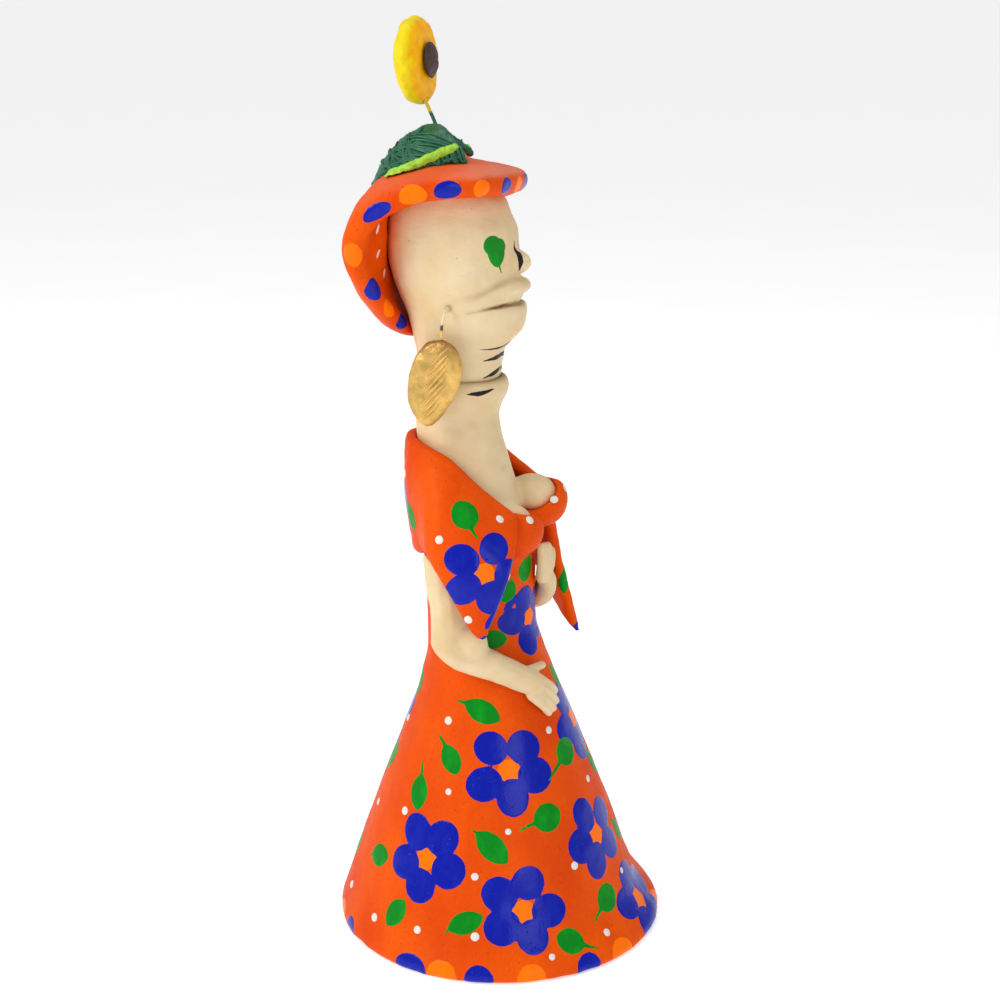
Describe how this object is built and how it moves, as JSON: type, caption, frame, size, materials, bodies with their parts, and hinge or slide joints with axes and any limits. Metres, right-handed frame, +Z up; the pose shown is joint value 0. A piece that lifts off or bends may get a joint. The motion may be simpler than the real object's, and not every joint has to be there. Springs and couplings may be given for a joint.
{
  "type": "papier-mache catrina figure",
  "caption": "Standing skeleton-lady figurine: hollow bell skirt, draped shawl, folded-brim hat with feathers, flower on a bent wire and hanging disc earrings.",
  "frame": {"origin": "centre of the hem circle on the surface the figure stands on", "axes": "+Z up through the head; the figure faces -Y; her right hand side is -X"},
  "size_m": [0.08, 0.08, 0.2156],
  "materials": {
    "dress_paint": "orange-red satin paint over modelled paper pulp",
    "bone_paint": "cream satin paint over modelled paper pulp",
    "feather_paint": "dark green satin paint over scratched pulp",
    "rib_paint": "lime green paint on a rolled pulp rib",
    "gold_paint": "gold paint over a flattened pulp disc",
    "petal_paint": "yellow and orange paint over pulp",
    "seed_paint": "dark brown paint on the flower's middle",
    "wire": "plain craft wire, partly painted over",
    "card_core": "rolled brown card, raw"
  },
  "bodies": {
    "figure": {"skirt_shell": "dress_paint", "skirt_core": "card_core", "bodice": "dress_paint", "neck_and_chest": "bone_paint", "spine_wire": "wire", "shawl": "dress_paint", "right_arm": "bone_paint", "left_arm": "bone_paint", "right_arm_wire": "wire", "left_arm_wire": "wire", "skull": "bone_paint", "hat": "dress_paint", "hat_crown": "dress_paint", "right_feather": "feather_paint", "left_feather": "feather_paint", "right_feather_rib": "rib_paint", "left_feather_rib": "rib_paint"},
    "flower": {"flower_stem": "wire", "flower_petals": "petal_paint", "flower_centre": "seed_paint"},
    "right_earring": {"right_earring_wire": "wire", "right_earring_disc": "gold_paint"},
    "left_earring": {"left_earring_wire": "wire", "left_earring_disc": "gold_paint"}
  },
  "joints": [
    {"name": "flower_bend", "type": "hinge", "parent": "figure", "child": "flower", "pos_m": [0, 0.0137, 0.1868], "axis": [1, 0, 0], "range_deg": [-15, 20]},
    {"name": "right_earring_swing", "type": "hinge", "parent": "figure", "child": "right_earring", "pos_m": [-0.0129, 0.0082, 0.1523], "axis": [1, 0, 0], "range_deg": [-25, 15]},
    {"name": "left_earring_swing", "type": "hinge", "parent": "figure", "child": "left_earring", "pos_m": [0.0129, 0.0082, 0.1523], "axis": [1, 0, 0], "range_deg": [-25, 15]}
  ]
}
